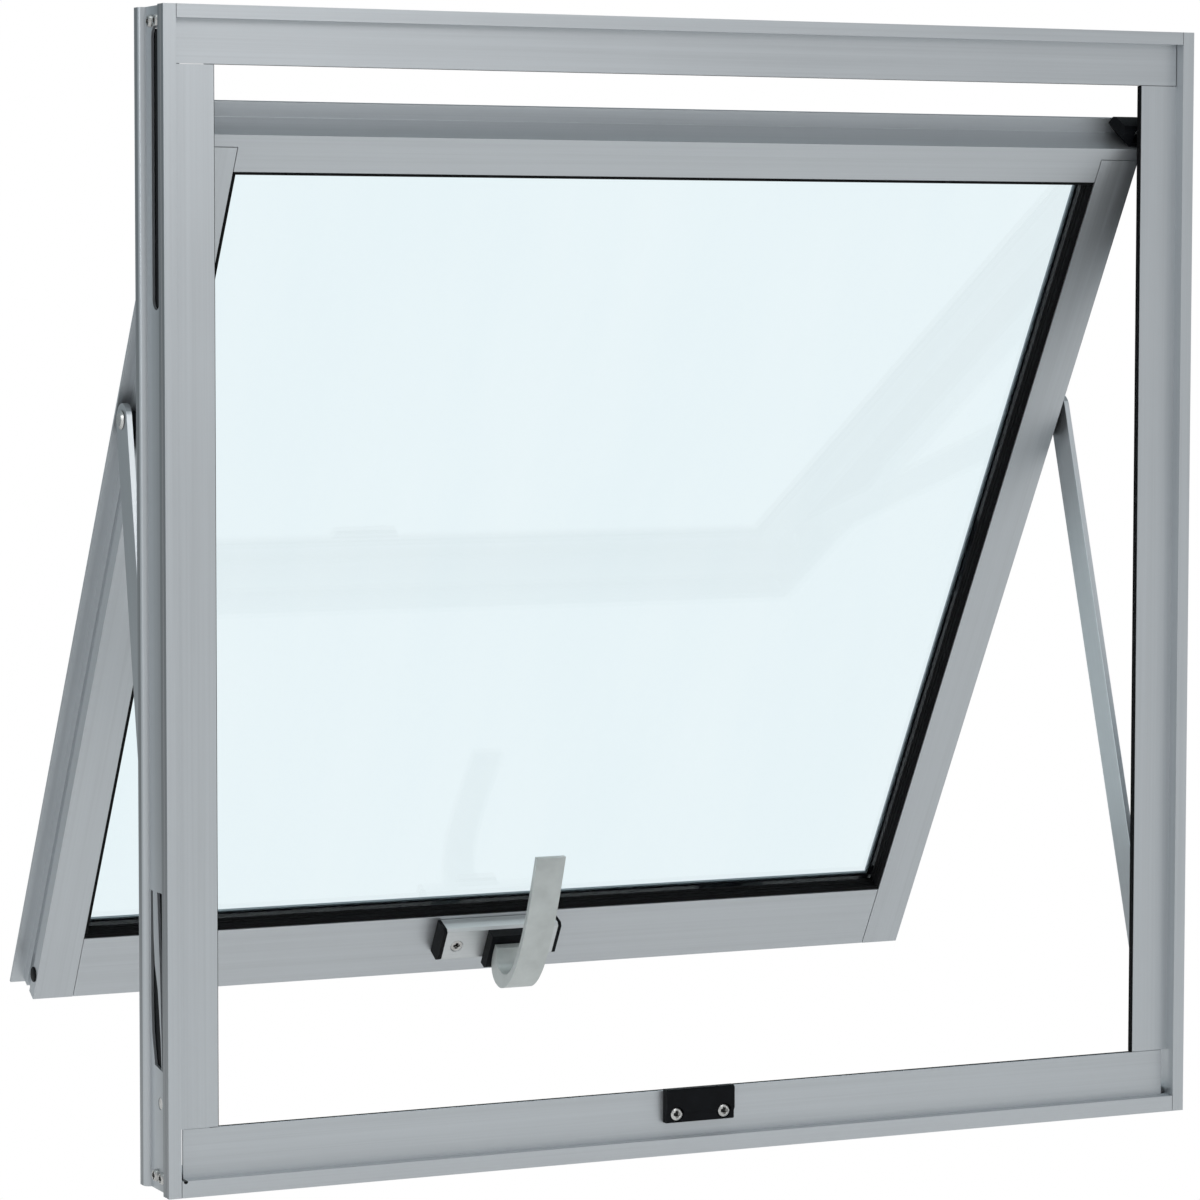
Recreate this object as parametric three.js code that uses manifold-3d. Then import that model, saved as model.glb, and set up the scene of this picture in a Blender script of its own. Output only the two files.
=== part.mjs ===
// Top-hung projecting window: an aluminium frame, a glazed sash whose top slides down
// the jambs while two stay arms swing it outwards, and a J-shaped latch lever on the sash.
// Millimetres. X runs along the width, +Y points outdoors, +Z is up. The origin is on the
// underside of the sill, in the middle of the width and of the frame's depth.
import * as THREE from 'three';
import * as BufferGeometryUtils from 'three/addons/utils/BufferGeometryUtils.js';
import Module from 'manifold-3d';

const wasm = await Module();
wasm.setup();

// ---- Driving dimensions -------------------------------------------------------------------
const FRAME_W = 600;          // overall width
const FRAME_H = 600;          // overall height
const FRAME_D = 44;           // overall depth
const WALL = 1.5;             // aluminium wall thickness
const THIN_WALL = 1.2;        // walls inside the closed chambers
const GAP = 0.3;              // fitting gap between neighbouring pieces

const LIP_DEPTH = 8.6;        // depth of the raised room-side lip
const LIP_SIDE = 6.8;         // lip face width on jambs and head
const LIP_SILL = 8.6;         // lip face width on the sill
const FLANGE_SETBACK = 7.1;   // the flange face lies this far behind the lip face
const FLANGE_SIDE = 29.1;     // outer edge to inner flange edge, jambs and head
const FLANGE_SILL = 33.6;     // the same on the sill
const CHANNEL_FLOOR = 3.35;   // depth of the channel in the outer side of the jambs
const OUTER_RIM = 8;          // depth of the outdoor rim tube
const OUTER_RIM_WIDTH = 6;    // width of the outdoor rim tube
const SILL_FLANGE_GAP = 3;    // open gap between the sill flange and the jamb lips
const SEAL_DEPTH = 3.2;       // frame seal, behind the flange edge
const SEAL_WIDTH = 4;
const SEAL_PROUD = 0.15;      // the head and sill seals stand past the flange by this much
const SEAL_WRAP = 0.55;       // the jamb seals wrap round the flange edge by this much
const SCREW_LINE = 7.5;       // corner screws, distance from the frame end
const SCREW_OFFSETS = [-5, 5]; // corner screws, either side of the frame's middle depth
const SCREW_BORE_R = 2.3;
const LIP_NICK = [3.6, 5, 0.5]; // fine groove in the lip's outer side: from, to, depth
const NICK_FLANK = 0.4;
const PORT_RISE = 10.7;       // chamber with the screw ports, from the edge of a rail
const PORT_HALF = 9;          // and either side of the frame's middle depth

const SASH_W = 554;           // room-side outline of the sash
const SASH_H = 552.7;
const SASH_DEPTH = 20.9;      // room-side face to outdoor face
const STILE_FACE = 23.4;      // face widths
const TOP_FACE = 21.3;
const BOTTOM_FACE = 41;
const TOP_BAND = 7;           // the part of the top rail that runs over the stile ends
const RIM_SIDE = 7.5;         // flat outdoor rim past the outline, at the stiles
const RIM_TOP = 8.65;         // above the top rail
const RIM_FOOT = 2.4;         // below the bottom rail
const RIM_FRONT_N = SASH_DEPTH - WALL; // the rim's room side, behind the face
const REBATE_LIP = 4.4;       // height of the lip that holds the glass from outdoors
const REBATE_N = 14.4;        // the lip's room side, behind the face
const GLASS_FRONT = 9;        // glass surface behind the sash face
const GLASS_T = 4;
const GASKET_T = 2.4;         // room-side gasket, along the glass
const OUTDOOR_GASKET_T = 3.2; // outdoor gasket, along the glass
const GROOVE = [7.8, 12.6, 1.6]; // groove in the outer side of the stiles: from, to, depth
const PLUG_N = 5.4;           // round plug in the stile's side, behind the face
const PLUG_RISE = 13.6;       // and above the bottom of the sash
const PLUG_R = 4.4;
const PLUG_SHANK_R = 1.8;
const PLUG_BORE_R = 2.1;

const SASH_OPEN = THREE.MathUtils.degToRad(30.1);
const TRACK_DEPTH = 10;       // pivots lie this far behind the sash face
const TOP_PIVOT_RISE = 6;     // top pivot above the sash outline
const PIVOT_SPACING = 180.5;  // top pivot to stay pivot, along the sash
const ARM_LENGTH = 356.8;     // pivot to pivot
const FRAME_PIVOT_Z = 45;     // stay arm's pivot on the jamb
const ARM_WIDTH = 17.4;
const ARM_T = 3;
const ARM_X_LOW = 292.3;      // middle of the arm at the frame pivot
const ARM_X_HIGH = 282.9;     // and at the sash pivot, so each arm leans inwards a little
const PIN_R = 3;
const BORE_R = 3.15;
const SHOE_X = [286.2, 293.6]; // sliding shoe
const SHOE_HALF_W = 5.6;
const SHOE_HALF = 15.4;       // half its height
const SHOE_DROP = 10;         // middle of the shoe below its pivot
const TOP_PIN_X = [270, 292.7];
const TOP_BLOCK_INNER = { left: 268.8, right: 263.5 }; // pointed ends; the left one is shorter
const TOP_BLOCK_OUTER = 283.5;
const TOP_POCKET_X = [271.5, 280.5];
const PACKER_HALF = 11;
const PACKER_DROP = 6;        // middle of the packer below its pivot

const TRACK_SLOT = { bottom: 448, top: 590, half: 5.5 }; // slot in the jamb web, over the track
const TRACK_BOTTOM = 443;     // nylon track that guides the sliding shoe
const TRACK_TOP = 588.8;
const TRACK_HALF = 8.1;       // half the clear width of the track
const TRACK_WALL = 1.5;
const TRACK_MOUTH_X = 287;
const LINER_X = [293.95, 294.85]; // the liner that carries the track, along the web
const LINER_BOTTOM = 58;
const LINER_STEP = [158, 166]; // the liner is wider below this step
const LINER_WIDE_Y = 13.7;
// Two slits in the jamb web beside the arm, as (Y, Z) outlines with a tongue between them.
const ARM_SLITS = [
  [
    [13.2, 153], [13.2, 96], [12, 80], [8, 64], [-2.2, 62],
    [-0.8, 78], [1, 90], [3.2, 103], [7.4, 115], [9.2, 130], [9.9, 153],
  ],
  [
    [3.4, 153], [1.4, 130], [-0.2, 115], [-0.9, 103], [-1.7, 90], [-2.4, 78], [-3, 62],
    [-6.4, 62], [-6.4, 130], [-5, 153],
  ],
];

const HANDLE_HALF = 37.4;     // handle base, half length over its end caps
const HANDLE_CAP = 2;
const HANDLE_TOP = 1;         // below the top edge of the bottom rail
const HANDLE_BOTTOM = 24.5;
const HANDLE_DEPTH = 12;
const HANDLE_SCREW_X = 27.3;
const HANDLE_SCREW_DROP = 13;
const LATCH_X = 2;            // middle of the latch block and of the lever
const LATCH_HALF = 11.5;
const LATCH_TOP = 2;
const LATCH_BOTTOM = 26;
const LATCH_FRONT = 19.2;     // front of the block, before the sash face
const LEVER_W = 18;
const LEVER_PIVOT_DROP = 13;
const TONGUE_LENGTH = 23;

const KEEPER_W = 40;
const KEEPER_H = 18;
const KEEPER_TOP = 34.6;
const KEEPER_T = 5.2;

// ---- Linkage in the open pose -------------------------------------------------------------
// Arms and sash form a slider crank: ARM_LENGTH * sin(arm lean) equals PIVOT_SPACING *
// sin(sash opening), which keeps the top pivots on the track line Y = 0.
const ARM_LEAN = Math.asin(PIVOT_SPACING * Math.sin(SASH_OPEN) / ARM_LENGTH);
const STAY_PIVOT = new THREE.Vector3(
  0,
  ARM_LENGTH * Math.sin(ARM_LEAN),
  FRAME_PIVOT_Z + ARM_LENGTH * Math.cos(ARM_LEAN),
);
const TOP_PIVOT_Z = STAY_PIVOT.z + PIVOT_SPACING * Math.cos(SASH_OPEN);

// ---- Derived positions --------------------------------------------------------------------
const HALF_W = FRAME_W / 2;
const FRONT = -FRAME_D / 2;                      // Y of the room-side lip face
const BACK = FRAME_D / 2;
const FLANGE_FRONT = FRONT + FLANGE_SETBACK;
const FLANGE_BACK = FLANGE_FRONT + WALL;
const LIP_BACK = FRONT + LIP_DEPTH;
const RIM_FRONT = BACK - OUTER_RIM;
const WEB_INSIDE = HALF_W - CHANNEL_FLOOR - WALL; // X of the jamb web's inner face
const FACE_Y = -TRACK_DEPTH;                     // sash face in the sash's own frame
const FACE_TOP = -TOP_PIVOT_RISE;
const FACE_BOTTOM = FACE_TOP - SASH_H;
const RAIL_TOP = FACE_BOTTOM + BOTTOM_FACE;      // top edge of the bottom rail
const STILE_INNER = SASH_W / 2 - STILE_FACE;
const PANE_TOP = FACE_TOP - TOP_FACE;            // daylight edge at the top rail
const SIDES = [['left', -1], ['right', 1]];
const ARC_STEPS = 12;                            // points on each arc or curve

// ---- Materials ----------------------------------------------------------------------------
const finish = (color, roughness, metalness) =>
  new THREE.MeshStandardMaterial({ color, roughness, metalness });
const ALUMINIUM = finish(0xb9bcc0, 0.45, 0.9);
const HANDLE_METAL = finish(0xa9ada8, 0.5, 0.8);
const STEEL = finish(0xc9c8c4, 0.3, 1);
const RUBBER = finish(0x101112, 0.7, 0);
const NYLON = finish(0x17191c, 0.5, 0);
const GLASS = new THREE.MeshStandardMaterial({
  color: 0xe3f2f8, roughness: 0.05, metalness: 0, transparent: true, opacity: 0.4,
});

// ---- Shape helpers ------------------------------------------------------------------------
const outline = (points) => new THREE.Shape(points.map(([a, b]) => new THREE.Vector2(a, b)));

const rect = (a0, a1, b0, b1) => outline([[a0, b0], [a1, b0], [a1, b1], [a0, b1]]);

// Adds hollows to a section: the outline runs anticlockwise and its hollows clockwise.
function withVoids(shape, ...voids) {
  const turned = (path, clockwise) => {
    const points = path.getPoints(ARC_STEPS);
    return THREE.ShapeUtils.isClockWise(points) === clockwise ? points : points.reverse();
  };
  const section = new THREE.Shape(turned(shape, false));
  section.holes = voids.map((path) => new THREE.Path(turned(path, true)));
  return section;
}

const roundVoid = (a, b, r) => new THREE.Path().absarc(a, b, r, 0, 2 * Math.PI, true);

function extrude(shape, length) {
  const options = { depth: length, bevelEnabled: false, curveSegments: ARC_STEPS };
  return new THREE.ExtrudeGeometry(shape, options);
}

const AXIS = {
  x: new THREE.Vector3(1, 0, 0),
  y: new THREE.Vector3(0, 1, 0),
  z: new THREE.Vector3(0, 0, 1),
};

// A section drawn in (X, Y), standing from z0 to z1.
const alongZ = (shape, z0, z1) => extrude(shape, z1 - z0).translate(0, 0, z0);

// A section drawn in (Y, Z), running from x0 to x1.
function alongX(shape, x0, x1) {
  const turn = new THREE.Matrix4().makeBasis(AXIS.y, AXIS.z, AXIS.x);
  return extrude(shape, x1 - x0).applyMatrix4(turn).translate(x0, 0, 0);
}

// A section drawn in (X, Z), running from y0 to y1.
function alongY(shape, y0, y1) {
  const turn = new THREE.Matrix4().makeBasis(AXIS.x, AXIS.z, AXIS.y.clone().negate());
  return extrude(shape, y1 - y0).applyMatrix4(turn).translate(0, y1, 0);
}

function box(x0, x1, y0, y1, z0, z1) {
  const geometry = new THREE.BoxGeometry(x1 - x0, y1 - y0, z1 - z0);
  return geometry.translate((x0 + x1) / 2, (y0 + y1) / 2, (z0 + z1) / 2);
}

// A turned piece on an axis along X: profile points are [distance along X, radius].
function turnedX(profile, x, y, z, segments = 24) {
  const points = profile.map(([along, radius]) => new THREE.Vector2(radius, along));
  const geometry = new THREE.LatheGeometry(points, segments);
  return geometry.rotateZ(-Math.PI / 2).translate(x, y, z);
}

// The same on an axis along +Y.
function turnedY(profile, x, y, z, segments = 24) {
  const points = profile.map(([along, radius]) => new THREE.Vector2(radius, along));
  return new THREE.LatheGeometry(points, segments).translate(x, y, z);
}

// A pin bore along X, from `before` short of x0 to past x1.
function pinBore(x0, x1, z, before = 1) {
  const profile = [[x0 - before, 0], [x0 - before, BORE_R], [x1 + 1, BORE_R], [x1 + 1, 0]];
  return turnedX(profile, 0, 0, z);
}

// Pieces are drawn for the right-hand side; the left-hand copy is their mirror image.
function handed(geometry, side) {
  if (side > 0) {
    return geometry;
  }
  const mirrored = geometry.index ? geometry.toNonIndexed() : geometry.clone();
  mirrored.scale(-1, 1, 1);
  const position = mirrored.attributes.position;
  const [a, b] = [new THREE.Vector3(), new THREE.Vector3()];
  for (let i = 0; i < position.count; i += 3) {
    a.fromBufferAttribute(position, i + 1);
    b.fromBufferAttribute(position, i + 2);
    position.setXYZ(i + 1, b.x, b.y, b.z);
    position.setXYZ(i + 2, a.x, a.y, a.z);
  }
  mirrored.computeVertexNormals();
  return mirrored;
}

// ---- Joining and cutting ------------------------------------------------------------------
function toSolid(geometry) {
  const bare = geometry.clone();
  bare.deleteAttribute('normal');
  bare.deleteAttribute('uv');
  const merged = BufferGeometryUtils.mergeVertices(bare, 1e-4);
  return new wasm.Manifold(new wasm.Mesh({
    numProp: 3,
    vertProperties: Float32Array.from(merged.attributes.position.array),
    triVerts: Uint32Array.from(merged.index.array),
  }));
}

function toGeometry(solid) {
  const mesh = solid.getMesh();
  const geometry = new THREE.BufferGeometry();
  geometry.setAttribute('position', new THREE.BufferAttribute(mesh.vertProperties, 3));
  geometry.setIndex(new THREE.BufferAttribute(mesh.triVerts, 1));
  geometry.computeVertexNormals();
  return geometry;
}

const cut = (base, ...tools) =>
  toGeometry(tools.reduce((solid, tool) => solid.subtract(toSolid(tool)), toSolid(base)));

const join = (base, ...others) =>
  toGeometry(others.reduce((solid, other) => solid.add(toSolid(other)), toSolid(base)));

function piece(parent, name, geometry, material) {
  const mesh = new THREE.Mesh(geometry, material);
  mesh.name = name;
  parent.add(mesh);
  return mesh;
}

// A round-ended slot, drawn in (Y, Z).
function capsule(halfWidth, halfLength) {
  const shape = new THREE.Shape();
  shape.absarc(0, halfLength - halfWidth, halfWidth, 0, Math.PI);
  shape.absarc(0, halfWidth - halfLength, halfWidth, Math.PI, 2 * Math.PI);
  return shape;
}

// ---- Frame --------------------------------------------------------------------------------
// Jamb section in (X, Y): room-side lip tube, flange, web at the bottom of the outer
// channel, and outdoor rim tube with a rounded corner towards the channel. side is -1 for the left jamb and 1 for the right one.
function jambSection(side) {
  const at = (u, y) => [side * (HALF_W - u), y];
  const [nickFrom, nickTo, nick] = LIP_NICK;
  const beadAngles = [0, 1, 2, 3, 4, 5].map((step) => step * Math.PI / 10);
  const shape = outline([
    at(0, FRONT), at(LIP_SIDE, FRONT), at(LIP_SIDE, FLANGE_FRONT),
    at(FLANGE_SIDE, FLANGE_FRONT), at(FLANGE_SIDE, FLANGE_BACK),
    at(CHANNEL_FLOOR + WALL, FLANGE_BACK),
    at(CHANNEL_FLOOR + WALL, RIM_FRONT),
    at(OUTER_RIM_WIDTH, RIM_FRONT), at(OUTER_RIM_WIDTH, BACK), at(0, BACK),
    ...beadAngles.map((angle) => at(
      CHANNEL_FLOOR * (1 - Math.cos(angle)),
      RIM_FRONT + CHANNEL_FLOOR * (1 - Math.sin(angle)),
    )),
    at(CHANNEL_FLOOR, LIP_BACK), at(0, LIP_BACK),
    at(0, FRONT + nickTo), at(nick, FRONT + nickTo - NICK_FLANK),
    at(nick, FRONT + nickFrom + NICK_FLANK), at(0, FRONT + nickFrom),
  ]);
  const lipVoid = rect(
    ...[LIP_SIDE - WALL, WALL].map((u) => side * (HALF_W - u)),
    FRONT + WALL, FLANGE_FRONT - 0.4,
  );
  const rimVoid = rect(
    ...[OUTER_RIM_WIDTH - WALL, WALL].map((u) => side * (HALF_W - u)),
    RIM_FRONT + WALL, BACK - WALL,
  );
  return withVoids(shape, lipVoid, rimVoid);
}

function jamb(side) {
  const bar = alongZ(jambSection(side), 0, FRAME_H);
  const flangeEdge = side * (HALF_W - FLANGE_SIDE - 1);
  const lipEdge = side * (HALF_W - LIP_SIDE);
  const [x0, x1] = [flangeEdge, lipEdge].sort((a, b) => a - b);
  const lowCope = box(x0, x1, FLANGE_FRONT - 1, FLANGE_BACK + 1, -1, FLANGE_SILL + GAP);
  const highCope = box(
    x0, x1, FLANGE_FRONT - 1, FLANGE_BACK + 1, FRAME_H - FLANGE_SIDE - GAP, FRAME_H + 1,
  );
  const [w0, w1] = [side * (WEB_INSIDE - 1), side * (HALF_W - CHANNEL_FLOOR + 1)]
    .sort((a, b) => a - b);
  const { bottom, top, half } = TRACK_SLOT;
  const slot = alongX(capsule(half, (top - bottom) / 2), w0, w1)
    .translate(0, 0, (top + bottom) / 2);
  const slits = ARM_SLITS.map((points) => alongX(outline(points), w0, w1));
  const pivotBore = turnedX([[w0, 0], [w0, BORE_R], [w1, BORE_R], [w1, 0]], 0, 0, FRAME_PIVOT_Z);
  const screwBores = cornerScrewPlaces().map(([y, z]) =>
    turnedX([[w0, 0], [w0, SCREW_BORE_R], [w1, SCREW_BORE_R], [w1, 0]], 0, y, z));
  return cut(bar, lowCope, highCope, slot, ...slits, pivotBore, ...screwBores);
}

function cornerScrewPlaces() {
  return [SCREW_LINE, FRAME_H - SCREW_LINE].flatMap((z) => SCREW_OFFSETS.map((y) => [y, z]));
}

// Sill and head share one section in (Y, Z). up is 1 for the sill and -1 for the head; the
// section stands on its edge level and has a chamber with two screw ports.
function railSection(edge, up, lip, flange) {
  const at = (y, h) => [y, edge + up * h];
  const shape = outline([
    at(FRONT, 0), at(FRONT, lip), at(FLANGE_FRONT, lip), at(FLANGE_FRONT, flange),
    at(FLANGE_BACK, flange), at(FLANGE_BACK, WALL), at(-PORT_HALF, WALL),
    at(-PORT_HALF, PORT_RISE), at(PORT_HALF, PORT_RISE), at(PORT_HALF, WALL),
    at(RIM_FRONT, WALL), at(RIM_FRONT, OUTER_RIM_WIDTH + WALL), at(BACK, OUTER_RIM_WIDTH + WALL),
    at(BACK, 0),
  ]);
  const hollow = (y0, y1, h0, h1) => rect(y0, y1, edge + up * h0, edge + up * h1);
  const ports = SCREW_OFFSETS.map((y) => roundVoid(y, edge + up * SCREW_LINE, SCREW_BORE_R));
  return withVoids(
    shape, ...ports,
    hollow(FRONT + WALL, FLANGE_FRONT - 0.4, WALL, lip - WALL),
    hollow(THIN_WALL - PORT_HALF, PORT_HALF - THIN_WALL, THIN_WALL, SCREW_LINE - 3.6),
    hollow(RIM_FRONT + WALL, BACK - WALL, WALL + 0.3, OUTER_RIM_WIDTH),
  );
}

// Cuts the ends of a rail so that only the lip and flange pass in front of the jamb flange.
function rail(edge, up, lip, flange, flangeGap) {
  const lipHalf = HALF_W - LIP_SIDE - GAP;
  const bodyHalf = HALF_W - OUTER_RIM_WIDTH - GAP;
  const bar = alongX(railSection(edge, up, lip, flange), -bodyHalf, bodyHalf);
  const [z0, z1] = [edge - up, edge + up * (flange + 1)].sort((a, b) => a - b);
  const ends = SIDES.map(([, side]) => {
    const [x0, x1] = [side * lipHalf, side * HALF_W].sort((a, b) => a - b);
    return box(x0, x1, FRONT - 1, FLANGE_BACK + 0.02, z0, z1);
  });
  const [f0, f1] = [edge + up * lip, edge + up * (flange + 1)].sort((a, b) => a - b);
  const flangeEnds = SIDES.map(([, side]) => {
    const [x0, x1] = [side * (lipHalf - flangeGap), side * HALF_W].sort((a, b) => a - b);
    return box(x0, x1, FRONT - 1, FLANGE_BACK + 0.02, f0, f1);
  });
  return cut(bar, ...ends, ...flangeEnds);
}

function screw(headR, headT, shankR, length) {
  return [
    [0, 0], [0, headR * 0.8], [headT * 0.5, headR], [headT, headR],
    [headT, shankR], [length - 2, shankR], [length, 0],
  ];
}

// Cross recess in a screw head. direction is the way from the head's top into the head.
function crossRecess(depth, reach, x, y, z, axis) {
  const arm = 0.8;
  const spans = [[reach, arm], [arm, reach]];
  return spans.map(([a, b]) => (axis === 'x'
    ? box(x - depth, x + depth, y - a, y + a, z - b, z + b)
    : box(x - a, x + a, y - depth, y + depth, z - b, z + b)));
}

function addFrame(root) {
  for (const [name, side] of SIDES) {
    piece(root, `frame_jamb_${name}`, jamb(side), ALUMINIUM);
    const flangeEdge = HALF_W - FLANGE_SIDE;
    const levels = [FLANGE_SILL + GAP, FRAME_H - FLANGE_SIDE - GAP];
    const behind = box(
      flangeEdge - SEAL_WRAP, flangeEdge - SEAL_WRAP + SEAL_WIDTH,
      FLANGE_BACK + 0.05, FLANGE_BACK + SEAL_DEPTH, ...levels,
    );
    const wrap = box(
      flangeEdge - SEAL_WRAP, flangeEdge - 0.05,
      FLANGE_FRONT + 0.4, FLANGE_BACK + 0.1, ...levels,
    );
    piece(root, `frame_seal_${name}`, handed(join(behind, wrap), side), RUBBER);
    addCornerScrews(root, name, side);
    addFramePivot(root, name, side);
    addLiner(root, name, side);
  }
  piece(root, 'frame_head', rail(FRAME_H, -1, LIP_SIDE, FLANGE_SIDE, 0), ALUMINIUM);
  piece(root, 'frame_sill', rail(0, 1, LIP_SILL, FLANGE_SILL, SILL_FLANGE_GAP), ALUMINIUM);
  const sealHalf = HALF_W - FLANGE_SIDE + SEAL_WIDTH;
  const levels = [
    ['head', FRAME_H - FLANGE_SIDE - SEAL_PROUD, FRAME_H - FLANGE_SIDE - SEAL_PROUD + SEAL_WIDTH],
    ['sill', FLANGE_SILL + SEAL_PROUD - SEAL_WIDTH, FLANGE_SILL + SEAL_PROUD],
  ];
  for (const [name, z0, z1] of levels) {
    const seal = box(
      -sealHalf, sealHalf, FLANGE_BACK + 0.05, FLANGE_BACK + SEAL_DEPTH, z0, z1,
    );
    piece(root, `frame_seal_${name}`, seal, RUBBER);
  }
}

function addCornerScrews(root, name, side) {
  const headT = 2.2;
  const names = ['lower_front', 'lower_back', 'upper_front', 'upper_back'];
  cornerScrewPlaces().forEach(([y, z], i) => {
    const x = side * (HALF_W - CHANNEL_FLOOR + 0.05 + headT);
    const body = handed(turnedX(screw(3.2, headT, 1.9, 24), 0, 0, 0), -side);
    body.translate(x, y, z);
    const turned = cut(body, ...crossRecess(1.3, 2, x, y, z, 'x'));
    piece(root, `corner_screw_${name}_${names[i]}`, turned, STEEL);
  });
}

// Nylon liner behind the jamb web. Its upper part has two walls that guide the shoe.
function addLiner(root, name, side) {
  const [inner, outer] = LINER_X;
  const wallOut = TRACK_HALF + TRACK_WALL;
  const strip = alongX(outline([
    [-wallOut, LINER_BOTTOM], [LINER_WIDE_Y, LINER_BOTTOM], [LINER_WIDE_Y, LINER_STEP[0]],
    [wallOut, LINER_STEP[1]], [wallOut, TRACK_TOP], [-wallOut, TRACK_TOP],
  ]), inner, outer);
  const walls = SIDES.map(([, face]) => {
    const [y0, y1] = [face * TRACK_HALF, face * wallOut].sort((a, b) => a - b);
    return box(TRACK_MOUTH_X, inner + GAP, y0, y1, TRACK_BOTTOM, TRACK_TOP);
  });
  piece(root, `jamb_liner_${name}`, handed(join(strip, ...walls), side), NYLON);
}

// Shouldered rivet through the jamb web and the arm's lower eye, flush with the channel.
function addFramePivot(root, name, side) {
  const profile = [
    [ARM_X_LOW - ARM_T / 2 - 1.8, 0], [ARM_X_LOW - ARM_T / 2 - 1.8, 3.6],
    [ARM_X_LOW - ARM_T / 2 - 0.4, 5], [ARM_X_LOW - ARM_T / 2 - 0.3, PIN_R],
    [ARM_X_LOW + ARM_T / 2 + 0.3, PIN_R], [ARM_X_LOW + ARM_T / 2 + 0.35, 5.5],
    [WEB_INSIDE - 0.1, 5.5], [WEB_INSIDE - 0.05, PIN_R],
    [HALF_W - CHANNEL_FLOOR - 0.2, PIN_R], [HALF_W - CHANNEL_FLOOR - 0.2, 0],
  ];
  const rivet = turnedX(profile, 0, 0, FRAME_PIVOT_Z);
  piece(root, `frame_pivot_rivet_${name}`, handed(rivet, side), STEEL);
}

function addKeeper(root) {
  const z0 = KEEPER_TOP - KEEPER_H;
  const back = FLANGE_FRONT - 0.1;
  const front = back - KEEPER_T;
  const screwX = KEEPER_W / 2 - 6;
  const screwZ = z0 + 4.6;
  const section = outline([
    [back, z0], [front + 1.6, z0], [front + 1, z0 + 0.8], [front + 1, z0 + 4.5],
    [front, z0 + 6], [front, KEEPER_TOP - 1], [front + 1, KEEPER_TOP], [back, KEEPER_TOP],
  ]);
  const plate = alongX(section, -KEEPER_W / 2, KEEPER_W / 2);
  const seats = [-screwX, screwX].map((x) =>
    turnedY([[front - 1, 0], [front - 1, 4], [front + 2.2, 4], [front + 2.2, 0]], x, 0, screwZ));
  const bores = [-screwX, screwX].map((x) =>
    turnedY([[front, 0], [front, 2.1], [back + 1, 2.1], [back + 1, 0]], x, 0, screwZ));
  piece(root, 'keeper_plate', cut(plate, ...seats, ...bores), NYLON);
  for (const [name, side] of SIDES) {
    const top = front + 0.5;
    const body = turnedY([
      [top, 0], [top, 2.6], [top + 0.5, 3.4], [top + 1.5, 3.5], [top + 1.6, 1.8],
      [back, 1.8], [back, 0],
    ], side * screwX, 0, screwZ);
    const head = cut(body, ...crossRecess(1.5, 2, side * screwX, top, screwZ, 'y'));
    piece(root, `keeper_screw_${name}`, head, STEEL);
  }
}

// ---- Stay arms ----------------------------------------------------------------------------
// A flat bar with round ends, sheared so that its upper end lies nearer the sash.
function addArm(root, name, side) {
  const shape = new THREE.Shape();
  shape.absarc(0, ARM_LENGTH, ARM_WIDTH / 2, 0, Math.PI);
  shape.absarc(0, 0, ARM_WIDTH / 2, Math.PI, 2 * Math.PI);
  const eyes = [0, ARM_LENGTH].map((z) => roundVoid(0, z, BORE_R));
  const arm = alongX(withVoids(shape, ...eyes), -ARM_T / 2, ARM_T / 2);
  const shear = new THREE.Matrix4().set(
    1, 0, side * (ARM_X_HIGH - ARM_X_LOW) / ARM_LENGTH, side * ARM_X_LOW,
    0, 1, 0, 0,
    0, 0, 1, 0,
    0, 0, 0, 1,
  );
  const mesh = piece(root, `stay_arm_${name}`, arm.applyMatrix4(shear), ALUMINIUM);
  mesh.position.set(0, 0, FRAME_PIVOT_Z);
  mesh.rotation.x = -ARM_LEAN;
}

// ---- Sliding shoes ------------------------------------------------------------------------
// A nylon shoe that runs in the liner's track and stays upright.
function addShoe(root, name, side) {
  const body = alongX(capsule(SHOE_HALF_W, SHOE_HALF), ...SHOE_X)
    .translate(0, 0, -SHOE_DROP);
  const bore = pinBore(SHOE_X[0], SHOE_X[1], 0);
  const shoe = handed(cut(body, bore), side);
  piece(root, `slider_shoe_${name}`, shoe, NYLON).position.set(0, 0, TOP_PIVOT_Z);
}

// ---- Sash ---------------------------------------------------------------------------------
const faceY = (n) => FACE_Y + n;

// Stile section in (X, Y): face tube, outer groove, flat outdoor rim and the rebate lip.
function stileSection(side) {
  const at = (a, n) => [side * (SASH_W / 2 - a), faceY(n)];
  const [g0, g1, depth] = GROOVE;
  const shape = outline([
    at(0, 0), at(STILE_FACE, 0), at(STILE_FACE, REBATE_N),
    at(STILE_FACE + REBATE_LIP, REBATE_N), at(STILE_FACE + REBATE_LIP, REBATE_N + WALL),
    at(STILE_FACE, REBATE_N + WALL), at(STILE_FACE, SASH_DEPTH),
    at(-RIM_SIDE, SASH_DEPTH), at(-RIM_SIDE, RIM_FRONT_N), at(0, RIM_FRONT_N),
    at(0, g1), at(depth, g1), at(depth, g0), at(0, g0),
  ]);
  const wall = depth + WALL;
  const tube = outline([
    at(WALL, WALL), at(STILE_FACE - WALL, WALL), at(STILE_FACE - WALL, SASH_DEPTH - WALL),
    at(WALL, SASH_DEPTH - WALL), at(WALL, g1 + WALL), at(wall, g1 + WALL),
    at(wall, g0 - WALL), at(WALL, g0 - WALL),
  ]);
  return withVoids(shape, tube);
}

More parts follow.
